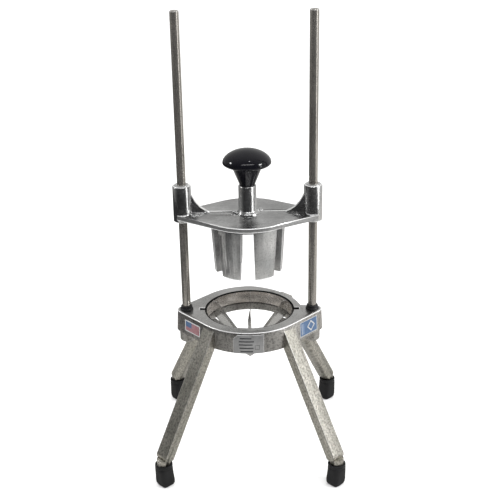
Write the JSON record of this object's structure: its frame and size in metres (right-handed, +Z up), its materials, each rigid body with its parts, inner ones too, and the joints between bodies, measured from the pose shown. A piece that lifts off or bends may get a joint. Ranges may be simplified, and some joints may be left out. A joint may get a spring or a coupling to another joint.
{
  "type": "vegetable dicer",
  "caption": "Table-top push-down vegetable wedger: cast frame on splayed legs with rubber boots, sloping blades, pusher on guide rods, knob handle.",
  "frame": {"origin": "on the table under the centre of the blade ring, midway between the boots", "axes": "+Z up along the guide rods; -Y faces the operator; the guide rods stand on the X axis"},
  "size_m": [0.2088, 0.2088, 0.5005],
  "materials": {
    "cast_aluminium": "ground and grained cast aluminium, satin",
    "polished_aluminium": "bright buffed casting",
    "block_aluminium": "as-cast with light buffing",
    "rod_steel": "centreless ground stainless",
    "band_steel": "polished stainless",
    "blade_steel": "satin stainless, honed edge",
    "screw_steel": "plain stainless",
    "bushing_metal": "turned",
    "insert_brass": "turned",
    "knob_plastic": "moulded, high gloss",
    "boot_rubber": "matte",
    "bumper_rubber": "matte",
    "plate_metal": "satin plate with plain printed bars",
    "label_flag": "printed vinyl in three plain colours",
    "label_blue": "printed vinyl, blue with pale marks"
  },
  "bodies": {
    "base": {"frame_casting": "cast_aluminium", "leg_front_left": "cast_aluminium", "boot_front_left": "boot_rubber", "leg_front_right": "cast_aluminium", "boot_front_right": "boot_rubber", "leg_rear_left": "cast_aluminium", "boot_rear_left": "boot_rubber", "leg_rear_right": "cast_aluminium", "boot_rear_right": "boot_rubber", "guide_rod_left": "rod_steel", "rod_bumper_left": "bumper_rubber", "guide_rod_right": "rod_steel", "rod_bumper_right": "bumper_rubber", "wall_label_left": "label_flag", "wall_label_right": "label_blue", "name_plate": "plate_metal", "rod_set_screws": "screw_steel", "ring_set_screws": "screw_steel", "blade_band": "band_steel", "blade_1": "blade_steel", "blade_2": "blade_steel", "blade_3": "blade_steel", "blade_4": "blade_steel", "blade_5": "blade_steel", "blade_6": "blade_steel", "blade_centre_pin": "blade_steel"},
    "pusher": {"pusher_head": "polished_aluminium", "sleeve_bushing_left": "bushing_metal", "sleeve_bushing_right": "bushing_metal", "push_block": "block_aluminium", "centre_bolt": "screw_steel", "push_block_screws": "screw_steel", "knob": "knob_plastic", "knob_insert": "insert_brass"}
  },
  "joints": [
    {"name": "pusher_slide", "type": "slide", "parent": "base", "child": "pusher", "axis": [0, 0, 1], "range_m": [-0.1013, 0.18]}
  ]
}
